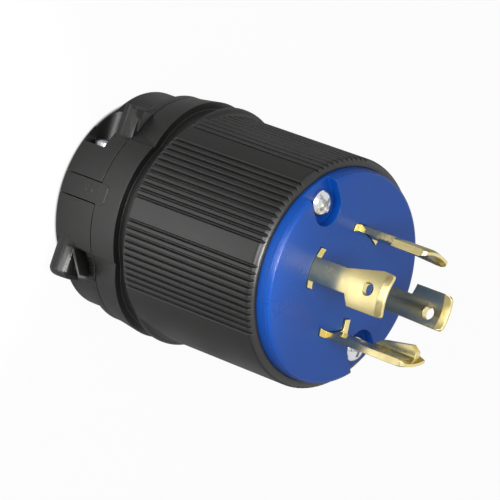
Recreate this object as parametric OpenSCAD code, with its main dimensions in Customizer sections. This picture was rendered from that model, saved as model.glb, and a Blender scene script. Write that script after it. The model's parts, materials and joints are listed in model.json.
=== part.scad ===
// Four-blade locking power plug with a ribbed nylon body and a screwed cord clamp.
// It stands on the rear end of its clamp, with the blades up. Millimetres, +Z up.
// The origin lies on the plug's axis, at the rear end.

/* [Body] */
// Outside diameter over the ribs
body_d = 51; // [49:0.5:56]
// Length of the ribbed body, from the neck groove to the front rim
body_len = 38.1; // [36:0.1:50]
// Wall between the ribbed surface and the bore
body_wall = 3.5; // [3:0.1:4.2]
// Radius of the rounded front rim
rim_round = 1.5; // [0.8:0.1:2]
// Chamfer at the rear end of the ribs
rear_chamfer = 0.8; // [0.3:0.1:1.2]

/* [Grip ribs] */
// Ribs in one group
ribs_per_group = 10; // [4:1:11]
// Angle from one rib to the next
rib_step = 3.42; // [2.8:0.02:3.6]
// Angle from one group of ribs to the next
rib_group_step = 46.4; // [44:0.1:50]
// Angle of the middle group of ribs
rib_middle_angle = 129.6; // [120.6:1:139.6]
// Width of the groove between two ribs, at the surface
rib_gap = 0.8; // [0.4:0.05:1]
// Width of the groove at its floor
rib_gap_floor = 0.2; // [0.1:0.05:0.3]
// Depth of the groove between two ribs
rib_depth = 0.7; // [0.3:0.05:0.9]

/* [Neck and collar] */
// Length of the neck groove between the body and the collar
neck_len = 5; // [4:0.1:7]
// Depth of the neck groove below the collar
neck_depth = 1.7; // [1:0.1:2.2]
// Length of the collar
collar_len = 6.9; // [6:0.1:10]
// Diameter of the collar across its two tongues
collar_d = 45.6; // [44.5:0.1:48]
// Wall of the collar
collar_wall = 4.4; // [4:0.1:5]
// How far the two side lobes of the collar stand off the axis
lobe_offset = 8; // [7:0.1:9]
// Radius of a lobe where the collar meets the neck
lobe_front_r = 18.8; // [18.3:0.1:19]
// Radius of a lobe where the collar meets the jaws
lobe_rear_r = 17.9; // [17.5:0.1:18.2]
// How far the lobes run forward over the ribbed body
lobe_reach = 3.9; // [3:0.1:6]

/* [Cord clamp] */
// Length of the two clamp jaws
jaw_len = 11.6; // [11.2:0.1:14]
// Gap between a jaw and the collar, and between a jaw and a tongue
jaw_gap = 0.25; // [0.15:0.05:0.3]
// Radius of a jaw's lobe behind its front flange
jaw_lobe_r = 16.6; // [16.2:0.1:17.2]
// Rounding of the rear edge of the jaws
jaw_round = 1.2; // [0.6:0.1:1.6]
// Diameter of the cord passage between the gripping ridges
cord_d = 22; // [16:0.5:22.5]
// Depth of the grooves between the gripping ridges
ridge_depth = 0.8; // [0.3:0.1:1]
// Width of the two tongues that guide the jaws
tongue_w = 4.6; // [4:0.1:5]
// Thickness of a tongue
tongue_t = 3.4; // [3:0.1:3.6]
// How far each jaw opens from the tongues
jaw_travel = 2; // [1:0.1:2]

/* [Clamp screws] */
// Distance of a clamp screw from the plug's axis
clamp_screw_offset = 16.3; // [16:0.05:16.6]
// Height of the clamp screws above the rear end
clamp_screw_z = 3.9; // [3.8:0.05:4.1]
// Diameter of a clamp screw
clamp_screw_d = 3.4; // [3:0.1:3.5]
// Diameter of its head
clamp_head_d = 5.6; // [5:0.1:6]
// Height of its head
clamp_head_h = 1.8; // [1.4:0.1:2.4]
// Height of the pocket floor that the head bears on, from the middle of the plug
head_seat = 9.6; // [8:0.1:10]
// Radius of the lip along the front of the head's pocket
lip_r = 1.3; // [1:0.05:1.4]
// Radius of the boss round the far end of the screw
boss_r = 3.7; // [3.6:0.05:3.8]
// How far the bosses reach from the middle of the plug
boss_reach = 20.2; // [19:0.1:21]
// Width across the flats of a clamp nut
nut_w = 5.8; // [5.4:0.1:6]
// Thickness of a clamp nut
nut_t = 2.2; // [1.8:0.1:2.6]

/* [Face] */
// Diameter of the face where it meets the rim
face_d = 47.2; // [46.4:0.1:47.4]
// How far the face stands out of the rim
face_proud = 3.1; // [2.6:0.1:6]
// Depth of the seat for the face in the rim
face_seat = 1.2; // [0.8:0.1:1.6]
// Length of the spigot behind the face
spigot_len = 3; // [2:0.1:5]
// Rounding of the front edge of the face
face_round = 0.9; // [0.4:0.1:1.2]
// Distance of the assembly screws from the axis
assembly_screw_offset = 19.2; // [18.9:0.1:19.2]
// Diameter of an assembly screw
assembly_screw_d = 3.5; // [3:0.1:3.6]
// Length of an assembly screw under its head
assembly_screw_len = 22; // [14:0.5:25]
// Diameter of its head
assembly_head_d = 5.8; // [5.2:0.1:6.4]
// Height of its head
assembly_head_h = 2; // [1.4:0.1:2]
// Depth of the open recess round the head
recess_depth = 2.4; // [2:0.1:2.8]
// Width of the recess
recess_w = 8.1; // [7.2:0.1:8.6]

/* [Blades] */
// How far the blades stand out of the face
blade_len = 20.6; // [19:0.1:22]
// Thickness of a blade
blade_t = 1.5; // [1.2:0.05:1.6]
// Radius of the circle that the blades lie on, at mid thickness
blade_circle_r = 11.3; // [11.2:0.05:11.4]
// Width of a blade's base
blade_base_w = 8.8; // [8.4:0.1:9.4]
// Width of its neck
neck_w = 5.2; // [4.8:0.1:5.6]
// How far the head flares out on the other side of the neck, on the first phase blade
x_flare = 1.3; // [0.2:0.1:1.6]
// The same on the second phase blade
y_flare = 2; // [0.2:0.1:2.2]
// The same on the third phase blade
z_flare = 0.2; // [0.2:0.1:1]
// How far the head hooks past the neck
hook_w = 2.3; // [1.8:0.1:2.6]
// Distance from the face to the shoulder of the hook
shoulder_z = 10.3; // [9:0.1:12]
// How much the shoulder slopes towards the tip
shoulder_slope = 1; // [0.2:0.1:1.4]
// Length of the bevel at the tip
bevel_len = 1.6; // [1:0.1:2]
// Diameter of the hole in the head
blade_hole_d = 2.9; // [2:0.1:3.4]
// Distance from the face to the hole
blade_hole_z = 15.9; // [15:0.1:17]
// Angle of the first phase blade
blade_x_angle = 52; // [51:0.5:53]
// Angle of the second phase blade
blade_y_angle = 149.5; // [147:0.5:150]
// Angle of the third phase blade
blade_z_angle = 325; // [324:0.5:328]

/* [Ground blade] */
// Angle of the ground blade
ground_angle = 252; // [251:0.5:253]
// Radius of the circle that the ground blade lies on
ground_circle_r = 12.4; // [12.2:0.05:12.5]
// How far the ground blade stands out beyond the others
ground_extra = 1.6; // [0.5:0.1:2]
// How far its turned-in leg reaches from the blade
leg_reach = 4; // [3:0.1:4.4]
// Width of the leg above the neck, at its start
leg_start = 1.4; // [0.8:0.1:2]

/* [Terminals] */
// Length of the block that holds the blades behind the face
block_len = 20; // [18:0.5:21]
// Diameter of that block
block_d = 32; // [31:0.1:32.4]
// Width of a wire pressure plate
plate_w = 8; // [7:0.1:8.4]
// Length of a wire pressure plate
plate_len = 9; // [8:0.1:10]
// Thickness of a wire pressure plate
plate_t = 1.2; // [0.8:0.1:1.4]
// Space for the wire between the plate and the blade
wire_gap = 2.2; // [1.5:0.1:2.4]
// Diameter of a terminal screw
terminal_screw_d = 3.4; // [3:0.1:3.8]
// Diameter of its head
terminal_head_d = 6; // [5.4:0.1:6.6]
// Height of its head
terminal_head_h = 2; // [1.6:0.1:2.2]

/* [Hidden] */

$fn = 96;
nylon = [0.09, 0.09, 0.10];
blue_nylon = [0.13, 0.33, 0.63];
block_grey = [0.20, 0.20, 0.21];
brass = [0.85, 0.77, 0.45];
bright_steel = [0.80, 0.80, 0.82];
green_steel = [0.20, 0.50, 0.28];

slip = 0.05;                                   // radial play round a threaded shank
fit = 0.1;                                     // play round a blade and round the block
over = 1;                                      // how far a cut runs past its surface

// Heights, from the rear end
collar_z = jaw_len;
neck_z = collar_z + collar_len;
body_z = neck_z + neck_len;
rim_z = body_z + body_len;
face_z = rim_z + face_proud;
seat_z = rim_z - face_seat;
block_top_z = seat_z - spigot_len;
block_z = block_top_z - block_len;
tip_z = face_z + blade_len;
ground_tip_z = tip_z + ground_extra;
foot_z = block_z + 2;

// Radii and directions
body_r = body_d / 2;
bore_r = body_r - body_wall;
collar_r = collar_d / 2;
collar_bore_r = collar_r - collar_wall;
screw_angle = rib_middle_angle - rib_group_step / 2;
tongue_angle = rib_middle_angle + rib_group_step / 2;
clamp_angle = tongue_angle - 90;
blade_in_r = blade_circle_r - blade_t / 2;
blade_out_r = blade_circle_r + blade_t / 2;
phase_angles = [blade_x_angle, blade_y_angle, blade_z_angle];

// Terminals: the screws are radial and lie halfway up the pressure plates
terminal_z = block_z + block_len * 0.42;
plate_in_r = ground_circle_r + blade_t / 2 + wire_gap;
plate_out_r = plate_in_r + plate_t;

// Clamp
tongue_in = collar_r - tongue_t;
tongue_edge = tongue_w / 2 + jaw_gap;
key_t = 1.3;
key_len = 2;
key_reach = tongue_w / 2 + jaw_travel + 1;
key_z = 7.4;
step_drop = 0.35;
step_at = 13.2;
flange_t = 1.9;
pocket_r = clamp_head_d / 2 + 0.3;
screw_end = 12.5;
rib_t = 0.7;
crown_half = 11;
assembly_boss_r = assembly_screw_d / 2 + 1.25;

// ---------- housing ----------

// Section through the ribbed body: six groups of ribs, with two wide smooth sides
module ribbed_section() {
    difference() {
        circle(r = body_r);
        for (side = [0, 180], group = [-1, 0, 1], i = [0 : ribs_per_group])
            rotate(rib_middle_angle + side + group * rib_group_step
                   + (i - ribs_per_group / 2) * rib_step)
                translate([body_r, 0])
                    polygon([[over / 4, -rib_gap * 0.7], [-rib_depth, -rib_gap_floor / 2],
                             [-rib_depth, rib_gap_floor / 2], [over / 4, rib_gap * 0.7]]);
    }
}

// Outline that rounds the front rim and chamfers the rear end of the ribs
module body_outline() {
    difference() {
        translate([0, body_z]) square([body_r + over, body_len]);
        translate([body_r - rim_round, rim_z - rim_round]) difference() {
            square(rim_round + 2 * over);
            circle(r = rim_round);
        }
        translate([body_r, body_z])
            polygon([[-rear_chamfer, -over], [-rear_chamfer, 0], [0, rear_chamfer],
                     [2 * over, rear_chamfer], [2 * over, -over]]);
    }
}

// One lobe of the collar where it rides up on the ribbed body, with a rounded nose
module lobe_nose() {
    nose_r = lobe_reach * 0.9;
    rotate_extrude() difference() {
        square([lobe_front_r, lobe_reach]);
        translate([lobe_front_r - nose_r, lobe_reach - nose_r]) difference() {
            square(nose_r + over);
            circle(r = nose_r);
        }
    }
}

// Places a pair of shapes on the two lobe centres
module on_lobes() {
    for (side = [-1, 1])
        rotate(clamp_angle) translate([side * lobe_offset, 0, 0]) children();
}

// Round form that steps back on the upper and lower sides
module stepped_round(h) {
    cylinder(r = collar_r - step_drop, h = h);
    intersection() {
        cylinder(r = collar_r, h = h);
        rotate(clamp_angle) translate([-step_at, -2 * collar_r, -over])
            cube([2 * step_at, 4 * collar_r, h + 2 * over]);
    }
}

module collar_form() {
    slope = (lobe_front_r - lobe_rear_r) / collar_len;
    intersection() {
        cylinder(r = body_d, h = collar_len);
        union() {
            stepped_round(collar_len + over);
            on_lobes() cylinder(r1 = lobe_rear_r, r2 = lobe_front_r + over * slope,
                                h = collar_len + over);
        }
    }
}

module neck_form() {
    translate([0, 0, -over]) linear_extrude(neck_len + 2 * over) {
        circle(r = collar_r - neck_depth);
        on_lobes() circle(r = lobe_front_r - neck_depth);
    }
}

// Profile that rounds the rear edge of the jaws and tongues
module rear_rounding(r, h) {
    difference() {
        square([r, h]);
        translate([r - jaw_round, jaw_round]) mirror([0, 1]) difference() {
            square(jaw_round + over);
            circle(r = jaw_round);
        }
    }
}

// Low pad on the collar, in line with a tongue, with two rounded corners
module pad_outline() {
    corner = 0.9;
    half = tongue_w / 2;
    translate([-half, -1.4]) square([tongue_w, 1.8]);
    translate([corner - half, -2.3]) square([tongue_w - 2 * corner, 2.7]);
    for (side = [-1, 1]) translate([side * (half - corner), -1.4]) circle(r = corner);
}

// Tongue between the jaws, with a crosswise key that the jaws slide on
module tongue() {
    intersection() {
        union() {
            translate([-tongue_w / 2, tongue_in, 0])
                cube([tongue_w, tongue_t + over, collar_z + over]);
            translate([-key_reach, tongue_in, key_z])
                cube([2 * key_reach, key_t, key_len]);
        }
        rotate_extrude() rear_rounding(collar_r, collar_z + over);
    }
    difference() {
        union() {
            translate([0, collar_r - over, key_z + key_len / 2]) rotate([-90, 0, 0])
                cylinder(d = 2.6, h = over + 0.1);
            translate([0, collar_r - over, collar_z]) rotate([-90, 0, 0])
                linear_extrude(over + 0.1) pad_outline();
        }
        translate([0, collar_r - 0.3, key_z + key_len / 2]) rotate([-90, 0, 0])
            cylinder(d = 1, h = over);
    }
}

// Bore, seat for the face and throat of the collar
module housing_cavity() {
    throat_z = body_z + 3;
    taper_z = throat_z + bore_r - collar_bore_r;
    rotate_extrude()
        polygon([[0, collar_z - over], [collar_bore_r, collar_z - over],
                 [collar_bore_r, throat_z], [bore_r, taper_z], [bore_r, seat_z],
                 [face_d / 2 + slip, seat_z], [face_d / 2 + slip, rim_z + over],
                 [0, rim_z + over]]);
}

module at_assembly_screws() {
    for (side = [0, 180])
        rotate(screw_angle + side) translate([assembly_screw_offset, 0, 0]) children();
}

module housing() {
    boss_len = assembly_screw_len - (face_z - recess_depth - block_top_z) + 2;
    color(nylon) difference() {
        union() {
            difference() {
                union() {
                    intersection() {
                        translate([0, 0, body_z]) linear_extrude(body_len) ribbed_section();
                        rotate_extrude() body_outline();
                    }
                    translate([0, 0, body_z]) on_lobes() lobe_nose();
                    translate([0, 0, neck_z]) neck_form();
                    translate([0, 0, collar_z]) collar_form();
                }
                housing_cavity();
            }
            for (side = [0, 180]) rotate(clamp_angle + side) tongue();
            intersection() {
                translate([0, 0, block_top_z - boss_len]) at_assembly_screws()
                    cylinder(r = assembly_boss_r, h = boss_len);
                cylinder(r = bore_r + over, h = rim_z);
            }
        }
        translate([0, 0, block_top_z - boss_len + 1]) at_assembly_screws()
            cylinder(r = assembly_screw_d / 2 + slip, h = boss_len + over);
    }
}

// ---------- face ----------

// A radial prism that stands on the blade circle, for cuts and outlines of the blades
module radial(angle, from_r, to_r) {
    rotate([90, 0, angle + 90]) translate([0, 0, from_r])
        linear_extrude(to_r - from_r) children();
}

module blade_slot(angle, mid_r) {
    in_r = mid_r - blade_t / 2 - fit;
    intersection() {
        difference() {
            cylinder(r = in_r + blade_t + 2 * fit, h = face_z + over);
            translate([0, 0, -over]) cylinder(r = in_r, h = face_z + 3 * over);
        }
        radial(angle, 0, 2 * blade_out_r)
            translate([-blade_base_w / 2 - fit, block_z - over])
                square([blade_base_w + 2 * fit, face_z - block_z + 2 * over]);
    }
}

module phase_slots() {
    for (angle = phase_angles) blade_slot(angle, blade_circle_r);
}

// The ground blade is turned in towards the middle along its hooked edge
module ground_leg(play) {
    out = ground_circle_r + blade_t / 2 - 0.7;
    inner = ground_circle_r - blade_t / 2 - leg_reach + 1.2;
    low = block_top_z - play;
    rotate(ground_angle) translate([0, blade_base_w / 2 + play, 0]) rotate([90, 0, 0])
        linear_extrude(blade_t + 2 * play) intersection() {
            translate([inner - play, low]) square([out - inner + 2 * play, ground_tip_z - low]);
            children();
        }
}

module ground_slot() {
    blade_slot(ground_angle, ground_circle_r);
    ground_leg(fit) square([2 * blade_out_r, face_z + over]);
}

module face() {
    color(blue_nylon) difference() {
        union() {
            translate([0, 0, seat_z]) rotate_extrude() difference() {
                polygon([[0, 0], [face_d / 2, 0], [face_d / 2, face_seat],
                         [face_d / 2 - 0.3, face_z - seat_z], [0, face_z - seat_z]]);
                translate([face_d / 2 - 0.3 - face_round, face_z - seat_z - face_round])
                    difference() {
                        square(face_round + over);
                        circle(r = face_round);
                    }
            }
            translate([0, 0, block_top_z]) cylinder(r = bore_r - fit, h = spigot_len);
        }
        phase_slots();
        ground_slot();
        at_assembly_screws() {
            cylinder(r = assembly_screw_d / 2 + 2 * slip, h = face_z);
            translate([0, 0, face_z - recess_depth]) {
                translate([-0.7, 0, 0]) cylinder(d = recess_w, h = recess_depth + over);
                translate([-0.7, -recess_w / 2, 0])
                    cube([recess_w + over, recess_w, recess_depth + over]);
            }
        }
    }
}

// ---------- blades and terminals ----------

// Outline of a blade seen from outside: base, narrow neck and hooked head
module blade_outline(flare) {
    neck_right = neck_w / 2 + 0.25;
    neck_left = neck_right - neck_w;
    head_right = neck_right + hook_w;
    head_left = neck_left - flare;
    corner = 1.2;
    shoulder = face_z + shoulder_z;
    difference() {
        polygon([[-blade_base_w / 2, foot_z], [blade_base_w / 2, foot_z],
                 [blade_base_w / 2, face_z + 0.4], [neck_right, face_z + 0.4],
                 [neck_right, shoulder], [head_right, shoulder + shoulder_slope],
                 [head_right, tip_z + over], [head_left, tip_z + over],
                 [head_left, tip_z - 3], [neck_left, shoulder - 1.5],
                 [neck_left, face_z + 0.4], [-blade_base_w / 2, face_z + 0.4]]);
        translate([head_right - corner, tip_z - corner]) difference() {
            square(corner + 2 * over);
            circle(r = corner);
        }
        translate([head_left + corner, tip_z - corner]) mirror([1, 0]) difference() {
            square(corner + 2 * over);
            circle(r = corner);
        }
        translate([(neck_left + neck_right) / 2, face_z + blade_hole_z])
            circle(d = blade_hole_d);
        translate([0, terminal_z]) circle(r = terminal_screw_d / 2 + slip);
    }
}

// Ring with a bevelled tip, from which the blades are cut
module blade_ring(mid_r, top_z) {
    in_r = mid_r - blade_t / 2;
    out_r = mid_r + blade_t / 2;
    rotate_extrude()
        polygon([[in_r, block_z], [out_r, block_z], [out_r, top_z - bevel_len],
                 [out_r - blade_t * 0.3, top_z], [in_r + blade_t * 0.3, top_z],
                 [in_r, top_z - bevel_len]]);
}

module blade(angle, flare) {
    intersection() {
        blade_ring(blade_circle_r, tip_z);
        radial(angle, 0, 2 * blade_out_r) blade_outline(flare);
    }
}

module x_blade() { color(brass) blade(blade_x_angle, x_flare); }
module y_blade() { color(brass) blade(blade_y_angle, y_flare); }
module z_blade() { color(brass) blade(blade_z_angle, z_flare); }

// Outline of the ground blade seen from outside, without its leg
module ground_outline() {
    left = -blade_base_w / 2;
    right = blade_base_w / 2;
    neck_right = right - hook_w;
    corner = 1.2;
    shoulder = face_z + shoulder_z;
    difference() {
        polygon([[left, foot_z], [right, foot_z], [right, face_z + 0.4],
                 [neck_right, face_z + 0.4], [neck_right, shoulder - 1],
                 [right, shoulder], [right, ground_tip_z + over],
                 [left + 1.6, ground_tip_z + over], [left + 2, face_z + 0.4],
                 [left, face_z + 0.4]]);
        translate([left + 1.6 + corner, ground_tip_z - corner]) mirror([1, 0]) difference() {
            square(corner + 2 * over);
            circle(r = corner);
        }
        translate([0, terminal_z]) circle(r = terminal_screw_d / 2 + slip);
    }
}

// Outline of the leg seen from its side: a foot in the slot and a leg on the head
module leg_outline() {
    out = ground_circle_r + blade_t / 2;
    inner = ground_circle_r - blade_t / 2 - leg_reach + 1.2;
    shoulder = face_z + shoulder_z;
    square([out, face_z + 0.6]);
    polygon([[out, shoulder - 1], [inner + leg_reach - leg_start, shoulder - 1],
             [inner + leg_reach - 2 * leg_start, shoulder + 1],
             [inner, tip_z - bevel_len], [inner + 1.2, tip_z], [out, tip_z]]);
}

module ground_blade() {
    color(brass) {
        intersection() {
            blade_ring(ground_circle_r, ground_tip_z);
            radial(ground_angle, 0, 2 * blade_out_r) ground_outline();
        }
        ground_leg(0) leg_outline();
    }
}

// Block with a slot for each blade and an open chamber for each wire
module terminal_block() {
    color(block_grey) difference() {
        translate([0, 0, block_z]) cylinder(d = block_d, h = block_len);
        phase_slots();
        ground_slot();
        for (angle = concat(phase_angles, ground_angle)) {
            rotate(angle) translate([blade_out_r, -plate_w / 2 - 0.5, block_z - over])
                cube([block_d, plate_w + 1, block_len * 0.84 + over]);
            rotate(angle) translate([blade_in_r - 3, 0, terminal_z]) rotate([0, 90, 0])
                cylinder(r = terminal_screw_d / 2 + 0.3, h = 5);
        }
    }
}

module pressure_plate(angle) {
    rotate(angle) difference() {
        translate([plate_in_r, -plate_w / 2, terminal_z - plate_len / 2])
            cube([plate_t, plate_w, plate_len]);
        translate([plate_in_r - over, 0, terminal_z]) rotate([0, 90, 0])
            cylinder(r = terminal_screw_d / 2 + slip, h = plate_t + 2 * over);
    }
}

module x_pressure_plate() { color(bright_steel) pressure_plate(blade_x_angle); }
module y_pressure_plate() { color(bright_steel) pressure_plate(blade_y_angle); }
module z_pressure_plate() { color(bright_steel) pressure_plate(blade_z_angle); }
module ground_pressure_plate() { color(bright_steel) pressure_plate(ground_angle); }

// Binding-head screw with a slot: head at the origin, shank down the -Z axis
module slotted_screw(d, len, head_d, head_h, slot_w) {
    difference() {
        union() {
            translate([0, 0, -len]) cylinder(d = d, h = len + over / 2);
            rotate_extrude() intersection() {
                square([head_d / 2, head_h]);
                translate([0, head_h - head_d * 0.95]) circle(r = head_d * 0.95);
            }
        }
        translate([-head_d, -slot_w / 2, head_h * 0.5]) cube([2 * head_d, slot_w, head_h]);
    }
}

module terminal_screw(angle) {
    rotate(angle) translate([plate_out_r, 0, terminal_z]) rotate([0, 90, 0])
        slotted_screw(terminal_screw_d, plate_out_r - blade_in_r + 1.5, terminal_head_d,
                      terminal_head_h, 1);
}

module phase_terminal_screws() {
    color(bright_steel) for (angle = [blade_x_angle, blade_y_angle, blade_z_angle])
        terminal_screw(angle);
}

module ground_terminal_screw() { color(green_steel) terminal_screw(ground_angle); }

module assembly_screws() {
    color(bright_steel) translate([0, 0, face_z - recess_depth]) at_assembly_screws()
        rotate(35) slotted_screw(assembly_screw_d, assembly_screw_len, assembly_head_d,
                                 assembly_head_h, 0.9);
}

// ---------- cord clamp ----------
// A jaw is drawn with its opening direction along +X and its screw head at +Y.

module jaw_form() {
    top = jaw_len - jaw_gap;
    flange_z = top - flange_t;
    rotate_extrude() rear_rounding(collar_r - step_drop, top);
    intersection() {
        rotate_extrude() rear_rounding(collar_r, top);
        translate([-step_at, -2 * collar_r, -over])
            cube([2 * step_at, 4 * collar_r, top + 2 * over]);
    }
    translate([lobe_offset, 0, 0]) rotate_extrude() union() {
        rear_rounding(jaw_lobe_r, flange_z);
        translate([0, flange_z - 2])
            polygon([[0, 0], [jaw_lobe_r, 0], [lobe_rear_r, 2], [lobe_rear_r, top - flange_z + 2],
                     [0, top - flange_z + 2]]);
    }
}

// A rod along the opening direction, at the place of a clamp screw
module along_screw(side, from_x, to_x, r) {
    translate([from_x, side * clamp_screw_offset, clamp_screw_z]) rotate([0, 90, 0])
        cylinder(r = r, h = to_x - from_x);
}

// Wall with a round lip in front of the head's pocket
module pocket_lip() {
    lip_v = clamp_screw_offset + 1;
    lip_z = clamp_screw_z + pocket_r + lip_r - 0.2;
    translate([tongue_edge, lip_v, lip_z]) rotate([0, 90, 0])
        cylinder(r = lip_r, h = boss_reach - tongue_edge);
    translate([tongue_edge, crown_half, lip_z - lip_r])
        cube([boss_reach - tongue_edge, lip_v - crown_half, 2 * lip_r]);
    translate([tongue_edge, crown_half, lip_z])
        cube([boss_reach - tongue_edge - 0.5, lip_v - crown_half - 0.6,
              jaw_len - jaw_gap - lip_z]);
}

// Boss round the far end of the other jaw's screw, with a rounded end
module far_boss() {
    end_r = 1.8;
    translate([tongue_edge, -clamp_screw_offset, clamp_screw_z]) rotate([0, 90, 0])
        rotate_extrude() difference() {
            square([boss_r, boss_reach - tongue_edge]);
            translate([boss_r - end_r, boss_reach - tongue_edge - end_r]) difference() {
                square(end_r + over);
                circle(r = end_r);
            }
        }
    translate([tongue_edge, -clamp_screw_offset, clamp_screw_z - boss_r])
        cube([boss_reach - tongue_edge - end_r, clamp_screw_offset - crown_half, 2 * boss_r]);
}

// Cored pocket between the far boss and the front flange, with a thin rib along it
module cored_pockets() {
    top = jaw_len - jaw_gap - flange_t;
    difference() {
        translate([step_at, -2 * collar_r, clamp_screw_z])
            cube([boss_reach - step_at - 1.2, 2 * collar_r - crown_half - 1.5,
                  top - clamp_screw_z]);
        translate([step_at - over, -clamp_screw_offset, (clamp_screw_z + top) / 2])
            cube([boss_reach, clamp_screw_offset - crown_half, rib_t]);
    }
}

module cord_passage() {
    top = jaw_len + over;
    translate([0, 0, -over]) cylinder(d = cord_d, h = top + 2 * over);
    for (z = [2.4, 6, 9.6])
        translate([0, 0, z - 0.9]) cylinder(r = cord_d / 2 + ridge_depth, h = 1.8);
}

module jaw() {
    color(nylon) difference() {
        union() {
            intersection() {
                jaw_form();
                translate([tongue_edge, -2 * collar_r, 0])
                    cube([2 * collar_r, 4 * collar_r, jaw_len]);
            }
            pocket_lip();
            far_boss();
        }
        cord_passage();
        cored_pockets();
        along_screw(1, 0, boss_reach, clamp_screw_d / 2 + 0.25);
        along_screw(-1, 0, screw_end + 1.5, clamp_screw_d / 2 + 0.25);
        along_screw(1, head_seat, boss_reach + over, pocket_r);
        translate([head_seat, clamp_screw_offset, clamp_screw_z - pocket_r])
            cube([boss_reach, collar_r, 2 * pocket_r]);
        translate([0, -clamp_screw_offset - nut_w / 2, clamp_screw_z - nut_w / 2])
            cube([tongue_edge + 2 + nut_t, nut_w, nut_w]);
        for (side = [-1, 1])
            translate([0, side * (tongue_in + key_t / 2), key_z + key_len / 2])
                cube([2 * (key_reach + jaw_gap), key_t + 2 * jaw_gap, key_len + 2 * jaw_gap],
                     center = true);
    }
}

module clamp_screw() {
    color(bright_steel) translate([head_seat, clamp_screw_offset, clamp_screw_z])
        rotate([0, 90, 0]) rotate(50)
            slotted_screw(clamp_screw_d, head_seat + screw_end, clamp_head_d, clamp_head_h, 0.9);
}

module clamp_nut() {
    color(bright_steel) difference() {
        translate([tongue_edge + 2, -clamp_screw_offset - nut_w / 2 + slip,
                   clamp_screw_z - nut_w / 2 + slip])
            cube([nut_t, nut_w - 2 * slip, nut_w - 2 * slip]);
        along_screw(-1, 0, boss_reach, clamp_screw_d / 2 + slip);
    }
}

module upper_jaw() { rotate(clamp_angle) jaw(); }
module lower_jaw() { rotate(clamp_angle + 180) jaw(); }
module upper_clamp_screw() { rotate(clamp_angle) clamp_screw(); }
module lower_clamp_screw() { rotate(clamp_angle + 180) clamp_screw(); }
module upper_clamp_nut() { rotate(clamp_angle) clamp_nut(); }
module lower_clamp_nut() { rotate(clamp_angle + 180) clamp_nut(); }

housing();
face();
terminal_block();
x_blade();
y_blade();
z_blade();
ground_blade();
x_pressure_plate();
y_pressure_plate();
z_pressure_plate();
ground_pressure_plate();
phase_terminal_screws();
ground_terminal_screw();
assembly_screws();
upper_jaw();
lower_jaw();
upper_clamp_screw();
lower_clamp_screw();
upper_clamp_nut();
lower_clamp_nut();
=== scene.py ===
import json
import math
import bmesh
import bpy
from mathutils import Matrix, Vector


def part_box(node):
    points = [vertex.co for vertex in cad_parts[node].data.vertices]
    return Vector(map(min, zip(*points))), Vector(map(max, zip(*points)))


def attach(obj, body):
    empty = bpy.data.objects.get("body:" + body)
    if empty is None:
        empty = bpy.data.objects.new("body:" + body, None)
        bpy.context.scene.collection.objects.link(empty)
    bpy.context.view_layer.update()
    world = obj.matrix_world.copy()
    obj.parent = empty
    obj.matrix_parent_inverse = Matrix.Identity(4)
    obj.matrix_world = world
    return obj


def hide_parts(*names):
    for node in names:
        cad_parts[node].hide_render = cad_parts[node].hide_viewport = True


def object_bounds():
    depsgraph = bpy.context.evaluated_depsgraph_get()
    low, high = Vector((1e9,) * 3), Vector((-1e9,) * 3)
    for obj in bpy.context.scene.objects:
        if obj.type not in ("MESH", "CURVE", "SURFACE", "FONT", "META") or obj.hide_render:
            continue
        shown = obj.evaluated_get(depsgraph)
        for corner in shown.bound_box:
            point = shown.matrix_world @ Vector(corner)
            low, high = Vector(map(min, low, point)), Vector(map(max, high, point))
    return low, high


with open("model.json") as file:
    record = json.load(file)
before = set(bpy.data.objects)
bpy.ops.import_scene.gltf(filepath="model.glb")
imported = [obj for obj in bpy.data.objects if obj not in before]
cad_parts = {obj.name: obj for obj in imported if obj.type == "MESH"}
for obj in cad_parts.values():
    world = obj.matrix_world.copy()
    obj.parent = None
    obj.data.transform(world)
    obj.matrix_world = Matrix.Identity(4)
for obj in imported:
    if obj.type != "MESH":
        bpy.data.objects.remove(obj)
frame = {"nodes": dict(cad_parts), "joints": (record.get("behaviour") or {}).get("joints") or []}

cad_low, cad_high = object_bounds()
cad_low, cad_high = Vector(cad_low), Vector(cad_high)


# ---------- Camera ----------
# A long lens, high up on the left of the plug and rolled, so that the standing plug lies
# over to the right in the view and the blades, the ribbed body and the clamp all show.


def add_object(name, data):
    """Puts an object with this mesh, lamp or lens into the scene."""
    made = bpy.data.objects.new(name, data)
    bpy.context.scene.collection.objects.link(made)
    return made


right = Vector((0.6888, 0.0, 0.7249))
up = Vector((0.2871, 0.9182, -0.2728))
forward = Vector((0.6656, -0.3960, -0.6325))
eye = Vector((-0.5344, 0.3164, 0.5451))

lens = bpy.data.cameras.new("studio_camera")
lens.lens = 268.34
lens.sensor_width = 36
lens.clip_start = 0.01
lens.clip_end = 20
camera = add_object("studio_camera", lens)
camera.matrix_world = Matrix.Translation(eye) @ Matrix((right, up, -forward)).transposed().to_4x4()
bpy.context.scene.camera = camera
bpy.context.scene.view_settings.view_transform = "Standard"


# ---------- Studio ----------
# A white table under the plug and a white room. The key is a low soft box on the
# camera's left and a weaker one fills the face. A spot brightens the table in front of
# the plug, whose gloss mirrors it; under the plug the table carries a painted shadow.


def linear(hex_colour):
    """Turns an sRGB hex value to the linear colour that a shader takes."""
    parts = [int(hex_colour[i:i + 2], 16) / 255 for i in (1, 3, 5)]
    parts = [p / 12.92 if p <= 0.04045 else ((p + 0.055) / 1.055) ** 2.4 for p in parts]
    return (*parts, 1.0)


def add_node(tree, kind, settings=None, links=None):
    """Adds one node. Settings name its properties or its sockets; links go to its sockets."""
    node = tree.nodes.new(kind)
    for name, value in (settings or {}).items():
        if isinstance(name, int) or not hasattr(node, name):
            node.inputs[name].default_value = value
        else:
            setattr(node, name, value)
    for name, source in (links or {}).items():
        tree.links.new(source, node.inputs[name])
    return node


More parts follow.
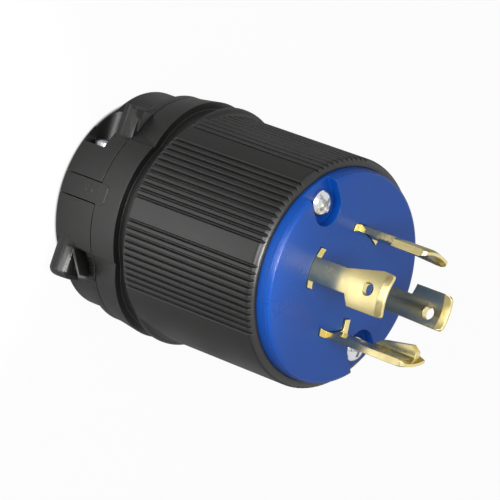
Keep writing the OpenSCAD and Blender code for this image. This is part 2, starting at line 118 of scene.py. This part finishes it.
def new_material(name):
    """A material with an empty node tree."""
    material = bpy.data.materials.new(name)
    material.use_nodes = True
    material.node_tree.nodes.clear()
    return material, material.node_tree


room = bpy.data.worlds.new("white_room")
bpy.context.scene.world = room
room.use_nodes = True
room.node_tree.nodes.clear()
path = add_node(room.node_tree, "ShaderNodeLightPath")
seen = add_node(room.node_tree, "ShaderNodeMath", {"operation": "MAXIMUM"},
                {0: path.outputs["Is Camera Ray"], 1: path.outputs["Is Glossy Ray"]})
seen = add_node(room.node_tree, "ShaderNodeMath", {"operation": "MAXIMUM"},
                {0: seen.outputs[0], 1: path.outputs["Is Transmission Ray"]})
ambient = add_node(room.node_tree, "ShaderNodeBackground",
                   {"Color": linear("#ffffff"), "Strength": 0.3})
backdrop = add_node(room.node_tree, "ShaderNodeBackground",
                    {"Color": linear("#ffffff"), "Strength": 1.0})
shown = add_node(room.node_tree, "ShaderNodeMixShader", {},
                 {0: seen.outputs[0], 1: ambient.outputs[0], 2: backdrop.outputs[0]})
add_node(room.node_tree, "ShaderNodeOutputWorld", {}, {"Surface": shown.outputs[0]})

table_white, tree = new_material("white_table_laminate")
path = add_node(tree, "ShaderNodeLightPath")
mirrored = add_node(tree, "ShaderNodeMath", {"operation": "MAXIMUM"},
                    {0: path.outputs["Is Glossy Ray"], 1: path.outputs["Is Transmission Ray"]})
mirrored = add_node(tree, "ShaderNodeMath", {"operation": "MULTIPLY", 1: 0.12},
                    {0: mirrored.outputs[0]})
share = add_node(tree, "ShaderNodeMath", {"operation": "MULTIPLY_ADD", 1: 0.94},
                 {0: path.outputs["Is Camera Ray"], 2: mirrored.outputs[0]})
# The table's white is taken away out to the rounded rear edge of the clamp, a painted
# shadow under the plug, so that its white does not shine up through the cord passage.
painted_shadow_radius, painted_shadow_fade_radius = 0.0219, 0.0226
place = add_node(tree, "ShaderNodeTexCoord").outputs["Object"]
flat = add_node(tree, "ShaderNodeVectorMath", {"operation": "MULTIPLY", 1: (1.0, 1.0, 0.0)},
                {0: place})
reach = add_node(tree, "ShaderNodeVectorMath", {"operation": "LENGTH"}, {0: flat.outputs[0]})
# Mask of the painted shadow: zero under the plug, one outside it.
clear = add_node(tree, "ShaderNodeMapRange",
                 {"From Min": painted_shadow_radius, "From Max": painted_shadow_fade_radius},
                 {"Value": reach.outputs["Value"]})
share = add_node(tree, "ShaderNodeMath", {"operation": "MULTIPLY"},
                 {0: share.outputs[0], 1: clear.outputs[0]})
matt = add_node(tree, "ShaderNodeBsdfDiffuse", {"Color": linear("#9a9a9a")})
white = add_node(tree, "ShaderNodeEmission", {"Color": linear("#ffffff"), "Strength": 1.02})
table = add_node(tree, "ShaderNodeMixShader", {},
                 {0: share.outputs[0], 1: matt.outputs[0], 2: white.outputs[0]})
add_node(tree, "ShaderNodeOutputMaterial", {}, {"Surface": table.outputs[0]})

floor_mesh = bpy.data.meshes.new("table_top")
half_table = 1.5
floor_mesh.from_pydata([(x * half_table, y * half_table, cad_low.z)
                        for x, y in ((-1, -1), (1, -1), (1, 1), (-1, 1))],
                       [], [(0, 1, 2, 3)])
floor = add_object("table_top", floor_mesh)
floor_mesh.materials.append(table_white)

for name, place, target, watts, width in (
        ("key_light", (-0.217, 0.125, 0.13), (-0.05, 0.03, 0.01), 0.48, 0.14),
        ("face_light", (-0.16, 0.10, 0.36), (0.0, 0.0, 0.06), 0.60, 0.16)):
    lamp = bpy.data.lights.new(name, "AREA")
    lamp.energy = watts
    lamp.size = width
    lamp_object = add_object(name, lamp)
    lamp_object.location = place
    aim = Vector(target) - Vector(place)
    lamp_object.rotation_euler = aim.to_track_quat("-Z", "Y").to_euler()

# This one points straight down.
lamp = bpy.data.lights.new("table_light", "SPOT")
lamp.energy = 45.0
lamp.spot_size = math.radians(17)
lamp.spot_blend = 1.0
lamp.shadow_soft_size = 0.02
lamp_object = add_object("table_light", lamp)
lamp_object.location = (-0.0765, 0.0234, 0.45)


# ---------- Housing ----------
# Injection-moulded nylon 6, black all through. The mould is polished and then lightly
# vapour-blasted, so the surface is semi-gloss with a very fine grain; edges of the ribs and
# bosses are drawn a little brighter, partly as rubbing from handling, partly as a painted
# highlight.


def moulded_nylon(name, colour, rubbed_and_highlit_colour, roughness, specular):
    """Moulded nylon with flow marks, a fine grain and lighter edges: rubbing wear and a painted
    highlight.
    """
    material, tree = new_material(name)
    place = add_node(tree, "ShaderNodeTexCoord").outputs["Object"]
    # Flow marks about 12 mm long and grain of 0.2 mm; the real grain, near 0.02 mm,
    # would not show, so it is drawn ten times coarser.
    flow = add_node(tree, "ShaderNodeTexNoise", {"Scale": 85.0, "Detail": 4.0, "Roughness": 0.55},
                    {"Vector": place})
    grain = add_node(tree, "ShaderNodeTexNoise", {"Scale": 5000.0, "Detail": 2.0},
                     {"Vector": place})
    # Scuffs are about 1 mm wide and 17 mm long, and run along the plug.
    wipe = add_node(tree, "ShaderNodeMapping", {"Scale": (900.0, 900.0, 60.0)}, {"Vector": place})
    scuffs = add_node(tree, "ShaderNodeTexNoise", {"Scale": 1.0, "Detail": 3.0},
                      {"Vector": wipe.outputs[0]})
    # Moulded edges have a radius of about 0.28 mm, and the same radius marks the lighter edges,
    # rubbing wear and painted highlight together.
    soft_edge = add_node(tree, "ShaderNodeBevel", {"samples": 6, "Radius": 0.00028})
    plain = add_node(tree, "ShaderNodeNewGeometry").outputs["Normal"]
    turned = add_node(tree, "ShaderNodeVectorMath", {"operation": "DOT_PRODUCT"},
                      {0: soft_edge.outputs[0], 1: plain})
    edge = add_node(tree, "ShaderNodeMapRange",
                    {"From Min": 0.995, "From Max": 0.80, "To Min": 0.0, "To Max": 1.0},
                    {"Value": turned.outputs["Value"]})
    # Edges are painted lighter where the scuff noise is high: rubbing wear together with a painted
    # edge highlight.
    rubbed_and_highlit_edges = add_node(tree, "ShaderNodeMath", {"operation": "MULTIPLY"},
                    {0: edge.outputs[0], 1: scuffs.outputs[0]})
    shade = add_node(tree, "ShaderNodeMix", {"data_type": "RGBA", 6: linear(colour),
                                             7: linear(rubbed_and_highlit_colour)},
                     {0: rubbed_and_highlit_edges.outputs[0]})
    gloss = add_node(tree, "ShaderNodeMapRange",
                     {"From Min": 0.3, "From Max": 0.7, "To Min": roughness - 0.06,
                      "To Max": roughness + 0.08}, {"Value": flow.outputs[0]})
    worn_gloss = add_node(tree, "ShaderNodeMath", {"operation": "MULTIPLY_ADD", 1: 0.10},
                          {0: scuffs.outputs[0], 2: gloss.outputs[0]})
    skin = add_node(tree, "ShaderNodeBump", {"Strength": 0.25, "Distance": 0.000012},
                    {"Height": grain.outputs[0], "Normal": soft_edge.outputs[0]})
    waves = add_node(tree, "ShaderNodeBump", {"Strength": 0.12, "Distance": 0.0003},
                     {"Height": flow.outputs[0], "Normal": skin.outputs[0]})
    surface = add_node(tree, "ShaderNodeBsdfPrincipled",
                       {"IOR": 1.53, "Specular IOR Level": specular},
                       {"Base Color": shade.outputs[2], "Roughness": worn_gloss.outputs[0],
                        "Normal": waves.outputs[0]})
    add_node(tree, "ShaderNodeOutputMaterial", {}, {"Surface": surface.outputs[0]})
    return material


def dress(node, material):
    """Gives a carried-over solid its material in every slot."""
    solid = frame["nodes"][node]
    if not solid.material_slots:
        solid.data.materials.append(material)
    for slot in solid.material_slots:
        slot.material = material


black_nylon = moulded_nylon("black_nylon_vapour_blasted", "#1a1a19", "#3a3a39", 0.30, 0.45)
dress("housing", black_nylon)


# ---------- Clamp jaws ----------
# Two nylon half-rings that close on the cord. Each has an ear: its front wall runs flush
# into the lip of the screw pocket, and at the other end an open pocket with one slanting
# web lightens the boss. Both are moulded in one piece with the jaw.


def jaw_directions(side):
    """The way that a jaw opens, and the way across it, both level."""
    axis = next(Vector(j["axis"]) for j in frame["joints"] if j["name"] == side + "_jaw_slide")
    return axis, Vector((-axis.y, axis.x, 0))


def shape(name, directions, points):
    """A convex solid through points in mm: out along a jaw's slide, across it and up."""
    axis, across = directions
    form = bmesh.new()
    for x, y, z in points:
        form.verts.new(axis * x / 1000 + across * y / 1000 + Vector((0, 0, z / 1000)))
    bmesh.ops.convex_hull(form, input=form.verts)
    bmesh.ops.recalc_face_normals(form, faces=form.faces)
    mesh = bpy.data.meshes.new(name)
    form.to_mesh(mesh)
    form.free()
    return add_object(name, mesh)


def baked(piece):
    """The mesh of a piece with its modifiers applied, which are then taken off."""
    ready = piece.evaluated_get(bpy.context.evaluated_depsgraph_get())
    mesh = bpy.data.meshes.new_from_object(ready)
    piece.modifiers.clear()
    return mesh


# Places on an ear, in mm: out from the axis, across from the middle of the jaw, and up.
wall_root, wall_top_out, wall_out = 6, 17.6, 20.0
wall_side, wall_bottom = 11.6, 8.0
screw_across, screw_up = 16.3, 3.9
boss_width, boss_height = 3.62, 2.1
boss_stations = ((12.4, 1.0), (18.9, 1.0), (19.9, 0.6))
web_outline = ((13.2, 4.8), (13.2, 5.6), (18.3, 9.7), (19.1, 9.7))

for side in ("upper", "lower"):
    node = side + "_jaw"
    directions = jaw_directions(side)
    form = bmesh.new()
    form.from_mesh(frame["nodes"][node].data)
    bmesh.ops.remove_doubles(form, verts=form.verts, dist=1e-6)
    mesh = bpy.data.meshes.new(node + "_moulded")
    form.to_mesh(mesh)
    form.free()
    jaw = add_object(node + "_moulded", mesh)

    # The wall ends 0.03 mm below the top of the jaw, so that no two faces coincide.
    wall_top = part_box(node)[1][2] * 1000 - 0.03
    wall = shape("front_wall", directions,
                 [(wall_root, wall_side, wall_bottom), (wall_root, 18.5, 8.2),
                  (wall_root, 18.0, wall_top), (wall_root, wall_side, wall_top),
                  (wall_out, wall_side, wall_bottom), (wall_out, 18.5, 8.2),
                  (19.8, 18.4, 9.0), (wall_top_out, 17.9, wall_top),
                  (wall_top_out, wall_side, wall_top)])
    # The top of the boss is flatter than it is wide, and narrows at its outer end.
    ring = [math.radians(a) for a in range(-10, 191, 10)]
    boss = shape("boss_top", directions,
                 [(x, -screw_across + boss_width * math.cos(a) * k,
                   screw_up + boss_height * math.sin(a) * k)
                  for x, k in boss_stations for a in ring])
    web = shape("slanting_web", directions,
                [(x, y, z) for y in (-18.2, -12.2) for x, z in web_outline])
    gap = shape("open_pocket", directions,
                [(x, y, z) for x in (13.1, 20.6) for y in (-22.0, -12.55) for z in (6.05, 9.4)])
    for tool, operation in ((wall, "UNION"), (gap, "DIFFERENCE"), (boss, "UNION"),
                            (web, "UNION")):
        cut = jaw.modifiers.new(tool.name, "BOOLEAN")
        cut.operation = operation
        cut.solver = "EXACT"
        cut.object = tool
    jaw.data = baked(jaw)
    for tool in (wall, boss, web, gap):
        bpy.data.objects.remove(tool)
    jaw.data.materials.clear()
    jaw.data.materials.append(black_nylon)
    jaw.data.shade_smooth()
    jaw.data.set_sharp_from_angle(angle=math.radians(25))
    even = jaw.modifiers.new("large_faces_stay_even", "WEIGHTED_NORMAL")
    even.keep_sharp = True
    even.weight = 90
    jaw.data = baked(jaw)
    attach(jaw, side + "_clamp")
    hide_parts(node)


# ---------- Face ----------
# A disc of moulded nylon in signal blue. It closes the front of the housing, guides the
# blades through its slots, and is held by two long screws in open recesses.

blue_nylon = moulded_nylon("blue_nylon_moulded", "#06459b", "#1f60b4", 0.24, 0.3)
dress("face", blue_nylon)


# ---------- Terminal block ----------
# Mineral-filled thermoset, pressed in a dull tool: dark grey, matt and slightly
# speckled. It grips the blades and keeps the four wires apart.

pressed_thermoset, tree = new_material("pressed_thermoset_mineral_filled")
place = add_node(tree, "ShaderNodeTexCoord").outputs["Object"]
# Specks of filler are 0.4 mm across, and the surface is cloudy on the scale of 8 mm.
specks = add_node(tree, "ShaderNodeTexNoise", {"Scale": 2500.0, "Detail": 3.0}, {"Vector": place})
clouds = add_node(tree, "ShaderNodeTexNoise", {"Scale": 120.0, "Detail": 2.0}, {"Vector": place})
tone = add_node(tree, "ShaderNodeMix", {"data_type": "RGBA", 6: linear("#2a2b2d"),
                                        7: linear("#45474a")}, {0: specks.outputs[0]})
dull = add_node(tree, "ShaderNodeMapRange", {"To Min": 0.5, "To Max": 0.75},
                {"Value": clouds.outputs[0]})
skin = add_node(tree, "ShaderNodeBump", {"Strength": 0.3, "Distance": 0.00003},
                {"Height": specks.outputs[0]})
surface = add_node(tree, "ShaderNodeBsdfPrincipled", {"IOR": 1.55},
                   {"Base Color": tone.outputs[2], "Roughness": dull.outputs[0],
                    "Normal": skin.outputs[0]})
add_node(tree, "ShaderNodeOutputMaterial", {}, {"Surface": surface.outputs[0]})
dress("terminal_block", pressed_thermoset)


# ---------- Blades ----------
# Cut from 1.5 mm strip of pale 70/30 brass, rolled to the circle, coined at the tips and
# tumbled. They are bright, with fine drawing lines along the strip and softened edges.

pale_brass, tree = new_material("rolled_brass_tumbled")
place = add_node(tree, "ShaderNodeTexCoord").outputs["Object"]
# Rolling lines are 0.15 mm apart and run along the blade.
strip = add_node(tree, "ShaderNodeMapping", {"Scale": (6500.0, 6500.0, 160.0)}, {"Vector": place})
lines = add_node(tree, "ShaderNodeTexNoise", {"Scale": 1.0, "Detail": 3.0},
                 {"Vector": strip.outputs[0]})
tarnish = add_node(tree, "ShaderNodeTexNoise", {"Scale": 260.0, "Detail": 5.0, "Roughness": 0.6},
                   {"Vector": place})
soft_edge = add_node(tree, "ShaderNodeBevel", {"samples": 6, "Radius": 0.0002})
tone = add_node(tree, "ShaderNodeMix", {"data_type": "RGBA", 6: linear("#efe2ab"),
                                        7: linear("#d9c684")}, {0: tarnish.outputs[0]})
gloss = add_node(tree, "ShaderNodeMapRange",
                 {"From Min": 0.3, "From Max": 0.7, "To Min": 0.14, "To Max": 0.28},
                 {"Value": tarnish.outputs[0]})
drawn = add_node(tree, "ShaderNodeBump", {"Strength": 0.12, "Distance": 0.00001},
                 {"Height": lines.outputs[0], "Normal": soft_edge.outputs[0]})
surface = add_node(tree, "ShaderNodeBsdfPrincipled", {"Metallic": 1.0},
                   {"Base Color": tone.outputs[2], "Roughness": gloss.outputs[0],
                    "Normal": drawn.outputs[0]})
add_node(tree, "ShaderNodeOutputMaterial", {}, {"Surface": surface.outputs[0]})
for node in ("x_blade", "y_blade", "z_blade", "ground_blade"):
    dress(node, pale_brass)


# ---------- Wire terminals and nuts ----------
# Pressed steel plates, nuts and binding screws, barrel-plated with bright zinc; only the
# ground screw is lacquered green. All but the nuts are shut in behind the face.


def plated_steel_material(name, colour, shade_colour, metallic, roughness):
    """Tumbled steel under a thin coat, with small dings and a cloudy sheen."""
    material, tree = new_material(name)
    place = add_node(tree, "ShaderNodeTexCoord").outputs["Object"]
    # Tumbling dings are 0.3 mm across; cloudy plating is on the scale of 3 mm.
    dings = add_node(tree, "ShaderNodeTexNoise", {"Scale": 3300.0, "Detail": 2.0},
                     {"Vector": place})
    clouds = add_node(tree, "ShaderNodeTexNoise", {"Scale": 330.0, "Detail": 3.0},
                      {"Vector": place})
    tone = add_node(tree, "ShaderNodeMix", {"data_type": "RGBA", 6: linear(colour),
                                            7: linear(shade_colour)}, {0: clouds.outputs[0]})
    gloss = add_node(tree, "ShaderNodeMapRange",
                     {"From Min": 0.3, "From Max": 0.7, "To Min": roughness - 0.05,
                      "To Max": roughness + 0.08}, {"Value": clouds.outputs[0]})
    skin = add_node(tree, "ShaderNodeBump", {"Strength": 0.2, "Distance": 0.00001},
                    {"Height": dings.outputs[0]})
    surface = add_node(tree, "ShaderNodeBsdfPrincipled", {"Metallic": metallic},
                       {"Base Color": tone.outputs[2], "Roughness": gloss.outputs[0],
                        "Normal": skin.outputs[0]})
    add_node(tree, "ShaderNodeOutputMaterial", {}, {"Surface": surface.outputs[0]})
    return material


bright_zinc = plated_steel_material("steel_bright_zinc_plated", "#dcdde0", "#c2c4c9", 1.0, 0.16)
green_lacquer = plated_steel_material("steel_green_lacquered", "#1d6b35", "#17552b", 0.0, 0.28)
for node in ("x_pressure_plate", "y_pressure_plate", "z_pressure_plate", "ground_pressure_plate",
             "phase_terminal_screws", "upper_clamp_nut", "lower_clamp_nut"):
    dress(node, bright_zinc)
dress("ground_terminal_screw", green_lacquer)


# ---------- Assembly and clamp screws ----------
# Cold-headed steel screws with a domed head, a slot right across it and a cross recess,
# and a rolled thread. Two hold the face to the housing and one goes through each jaw.

screw_tree = bpy.data.node_groups.new("domed_combination_screw", "GeometryNodeTree")
screw_tree.is_modifier = True
screw_inputs = {}
screw_tree.interface.new_socket("Geometry", in_out="INPUT", socket_type="NodeSocketGeometry")
for name, start in (("Head Diameter", 0.0058), ("Head Height", 0.002), ("Slot Width", 0.0009),
                    ("Shank Diameter", 0.0035), ("Length", 0.022), ("Thread Pitch", 0.0008)):
    socket = screw_tree.interface.new_socket(name, in_out="INPUT", socket_type="NodeSocketFloat")
    socket.default_value = start
    screw_inputs[name] = socket.identifier
socket = screw_tree.interface.new_socket("Plating", in_out="INPUT",
                                         socket_type="NodeSocketMaterial")
screw_inputs["Plating"] = socket.identifier
screw_tree.interface.new_socket("Geometry", in_out="OUTPUT", socket_type="NodeSocketGeometry")

given = add_node(screw_tree, "NodeGroupInput").outputs
head_r = add_node(screw_tree, "ShaderNodeMath", {"operation": "MULTIPLY", 1: 0.5},
                  {0: given["Head Diameter"]}).outputs[0]
shank_r = add_node(screw_tree, "ShaderNodeMath", {"operation": "MULTIPLY", 1: 0.5},
                   {0: given["Shank Diameter"]}).outputs[0]
core_r = add_node(screw_tree, "ShaderNodeMath", {"operation": "MULTIPLY_ADD", 1: -0.62},
                  {0: given["Thread Pitch"], 2: shank_r}).outputs[0]
half_height = add_node(screw_tree, "ShaderNodeMath", {"operation": "MULTIPLY", 1: 0.5},
                       {0: given["Head Height"]}).outputs[0]
lift = add_node(screw_tree, "ShaderNodeCombineXYZ", {}, {"Z": half_height}).outputs[0]
blank = add_node(screw_tree, "GeometryNodeMeshCylinder",
                 {"Vertices": 56, "Side Segments": 1, "Fill Segments": 8},
                 {"Radius": head_r, "Depth": given["Head Height"]})
blank = add_node(screw_tree, "GeometryNodeTransform", {}, {"Geometry": blank.outputs["Mesh"],
                                                          "Translation": lift})
# The dome: full height on the axis, falling as an ellipse to a low rim.
spot = add_node(screw_tree, "GeometryNodeInputPosition").outputs[0]
parts = add_node(screw_tree, "ShaderNodeSeparateXYZ", {}, {0: spot}).outputs
flat = add_node(screw_tree, "ShaderNodeCombineXYZ", {}, {"X": parts["X"], "Y": parts["Y"]})
out = add_node(screw_tree, "ShaderNodeVectorMath", {"operation": "LENGTH"},
               {0: flat.outputs[0]}).outputs["Value"]
share = add_node(screw_tree, "ShaderNodeMath", {"operation": "DIVIDE"}, {0: out, 1: head_r})
square = add_node(screw_tree, "ShaderNodeMath", {"operation": "POWER", 1: 2.0},
                  {0: share.outputs[0]})
rest = add_node(screw_tree, "ShaderNodeMath", {"operation": "MULTIPLY_ADD", 1: -0.93, 2: 1.0},
                {0: square.outputs[0]})
curve = add_node(screw_tree, "ShaderNodeMath", {"operation": "SQRT"}, {0: rest.outputs[0]})
rise = add_node(screw_tree, "ShaderNodeMath", {"operation": "MULTIPLY_ADD", 1: 0.72, 2: 0.28},
                {0: curve.outputs[0]})
dome_z = add_node(screw_tree, "ShaderNodeMath", {"operation": "MULTIPLY"},
                  {0: rise.outputs[0], 1: given["Head Height"]})
dome_spot = add_node(screw_tree, "ShaderNodeCombineXYZ", {},
                     {"X": parts["X"], "Y": parts["Y"], "Z": dome_z.outputs[0]})
upper = add_node(screw_tree, "FunctionNodeCompare", {"data_type": "FLOAT",
                                                     "operation": "GREATER_THAN"},
                 {0: parts["Z"], 1: half_height})
head = add_node(screw_tree, "GeometryNodeSetPosition", {},
                {"Geometry": blank.outputs[0], "Selection": upper.outputs[0],
                 "Position": dome_spot.outputs[0]})
# A shallow slot right across, and a shorter and deeper cross in the middle.
head_top = add_node(screw_tree, "ShaderNodeCombineXYZ", {}, {"Z": given["Head Height"]})
for long_share, deep_share, turned in ((1.3, 0.80, False), (0.62, 1.1, False), (0.62, 1.1, True)):
    long = add_node(screw_tree, "ShaderNodeMath", {"operation": "MULTIPLY", 1: long_share},
                    {0: given["Head Diameter"]}).outputs[0]
    deep = add_node(screw_tree, "ShaderNodeMath", {"operation": "MULTIPLY", 1: deep_share},
                    {0: given["Head Height"]}).outputs[0]
    axes = {"Z": deep}
    axes["Y" if turned else "X"] = long
    axes["X" if turned else "Y"] = given["Slot Width"]
    size = add_node(screw_tree, "ShaderNodeCombineXYZ", {}, axes)
    bar = add_node(screw_tree, "GeometryNodeMeshCube", {}, {"Size": size.outputs[0]})
    bar = add_node(screw_tree, "GeometryNodeTransform", {},
                   {"Geometry": bar.outputs["Mesh"], "Translation": head_top.outputs[0]})
    head = add_node(screw_tree, "GeometryNodeMeshBoolean",
                    {"operation": "DIFFERENCE", "solver": "EXACT"},
                    {0: head.outputs[0], 1: bar.outputs[0]})
# The shank is a core with one rolled thread wound round it.
tail = add_node(screw_tree, "ShaderNodeMath", {"operation": "ADD"},
                {0: given["Length"], 1: half_height})
core = add_node(screw_tree, "GeometryNodeMeshCylinder", {"Vertices": 32},
                {"Radius": core_r, "Depth": tail.outputs[0]})
quarter_height = add_node(screw_tree, "ShaderNodeMath", {"operation": "MULTIPLY", 1: 0.25},
                          {0: given["Head Height"]}).outputs[0]
drop = add_node(screw_tree, "ShaderNodeMath", {"operation": "MULTIPLY_ADD", 1: -0.5},
                {0: given["Length"], 2: quarter_height})
drop = add_node(screw_tree, "ShaderNodeCombineXYZ", {}, {"Z": drop.outputs[0]})
core = add_node(screw_tree, "GeometryNodeTransform", {},
                {"Geometry": core.outputs["Mesh"], "Translation": drop.outputs[0]})
wound = add_node(screw_tree, "ShaderNodeMath", {"operation": "MULTIPLY", 1: 0.88},
                 {0: given["Length"]}).outputs[0]
turns = add_node(screw_tree, "ShaderNodeMath", {"operation": "DIVIDE"},
                 {0: wound, 1: given["Thread Pitch"]})
helix = add_node(screw_tree, "GeometryNodeCurveSpiral", {"Resolution": 20},
                 {"Rotations": turns.outputs[0], "Start Radius": core_r, "End Radius": core_r,
                  "Height": wound})
tooth_r = add_node(screw_tree, "ShaderNodeMath", {"operation": "MULTIPLY", 1: 0.56},
                   {0: given["Thread Pitch"]})
tooth = add_node(screw_tree, "GeometryNodeCurvePrimitiveCircle", {"Resolution": 4},
                 {"Radius": tooth_r.outputs[0]})
thread = add_node(screw_tree, "GeometryNodeCurveToMesh", {"Fill Caps": True},
                  {"Curve": helix.outputs[0], "Profile Curve": tooth.outputs["Curve"]})
start_z = add_node(screw_tree, "ShaderNodeMath", {"operation": "MULTIPLY", 1: -0.97},
                   {0: given["Length"]})
start_z = add_node(screw_tree, "ShaderNodeCombineXYZ", {}, {"Z": start_z.outputs[0]})
thread = add_node(screw_tree, "GeometryNodeTransform", {},
                  {"Geometry": thread.outputs[0], "Translation": start_z.outputs[0]})
screw = add_node(screw_tree, "GeometryNodeJoinGeometry")
for part in (head.outputs[0], core.outputs[0], thread.outputs[0]):
    screw_tree.links.new(part, screw.inputs[0])
way = add_node(screw_tree, "GeometryNodeInputNamedAttribute",
               {"data_type": "FLOAT_VECTOR", "Name": "way"})
aim = add_node(screw_tree, "FunctionNodeAlignRotationToVector", {"axis": "Z"},
               {"Vector": way.outputs[0]})
placed = add_node(screw_tree, "GeometryNodeInstanceOnPoints", {},
                  {"Points": given["Geometry"], "Instance": screw.outputs[0],
                   "Rotation": aim.outputs[0]})
turn = add_node(screw_tree, "GeometryNodeInputNamedAttribute",
                {"data_type": "FLOAT_VECTOR", "Name": "turn"})
placed = add_node(screw_tree, "GeometryNodeRotateInstances", {"Local Space": True},
                  {"Instances": placed.outputs[0], "Rotation": turn.outputs[0]})
solid = add_node(screw_tree, "GeometryNodeRealizeInstances", {}, {0: placed.outputs[0]})
plated = add_node(screw_tree, "GeometryNodeSetMaterial", {},
                  {"Geometry": solid.outputs[0], "Material": given["Plating"]})
add_node(screw_tree, "NodeGroupOutput", {}, {0: plated.outputs[0]})


def make_screws(name, seats, ways, slot_turns, sizes, body, node):
    """Makes the screws of one body from their seats and directions, as one plain mesh."""
    points = bpy.data.meshes.new(name + "_seats")
    points.from_pydata([tuple(s) for s in seats], [], [])
    store = points.attributes.new("way", "FLOAT_VECTOR", "POINT")
    turn_store = points.attributes.new("turn", "FLOAT_VECTOR", "POINT")
    for i, way in enumerate(ways):
        store.data[i].vector = way
        turn_store.data[i].vector = (0.0, 0.0, slot_turns[i])
    holder = add_object(name + "_seats", points)
    maker = holder.modifiers.new("screws", "NODES")
    maker.node_group = screw_tree
    for input_name, value in sizes.items():
        maker[screw_inputs[input_name]] = value
    maker[screw_inputs["Plating"]] = bright_zinc
    mesh = baked(holder)
    bpy.data.objects.remove(holder)
    mesh.name = name
    # The bare seats leave an empty slot ahead of the plating, which is taken out.
    mesh.materials.clear()
    mesh.materials.append(bright_zinc)
    mesh.shade_smooth()
    mesh.set_sharp_from_angle(angle=math.radians(35))
    piece = add_object(name, mesh)
    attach(piece, body)
    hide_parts(node)


slot_width = 0.0009
low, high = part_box("assembly_screws")
assembly_head_d, assembly_head_h, assembly_shank_d = 0.0058, 0.002, 0.0035
seat_x = high[0] - assembly_head_d / 2
seat_y = high[1] - assembly_head_d / 2
seat_z = high[2] - assembly_head_h
make_screws("assembly_screws_domed",
            [(-seat_x, seat_y, seat_z), (seat_x, -seat_y, seat_z)],
            [(0, 0, 1), (0, 0, 1)], [math.radians(120), math.radians(165)],
            {"Head Diameter": assembly_head_d, "Head Height": assembly_head_h,
             "Slot Width": slot_width, "Shank Diameter": assembly_shank_d,
             "Length": seat_z - low[2], "Thread Pitch": 0.0009}, "plug_body", "assembly_screws")

# A clamp screw's place and sizes come from the corners of the solid that it replaces.
clamp_head_h, clamp_shank_d = 0.0018, 0.0034
for side in ("upper", "lower"):
    axis, across = jaw_directions(side)
    corners = [v.co.copy() for v in frame["nodes"][side + "_clamp_screw"].data.vertices]
    along = [c.dot(axis) for c in corners]
    wide = [c.dot(across) for c in corners]
    high_z = [c.z for c in corners]
    seat = (axis * (max(along) - clamp_head_h) + across * (min(wide) + max(wide)) / 2
            + Vector((0, 0, (min(high_z) + max(high_z)) / 2)))
    make_screws(side + "_clamp_screw_domed", [seat], [axis], [math.radians(55)],
                {"Head Diameter": max(high_z) - min(high_z), "Head Height": clamp_head_h,
                 "Slot Width": slot_width, "Shank Diameter": clamp_shank_d,
                 "Length": max(along) - min(along) - clamp_head_h, "Thread Pitch": 0.0008},
                side + "_clamp", side + "_clamp_screw")
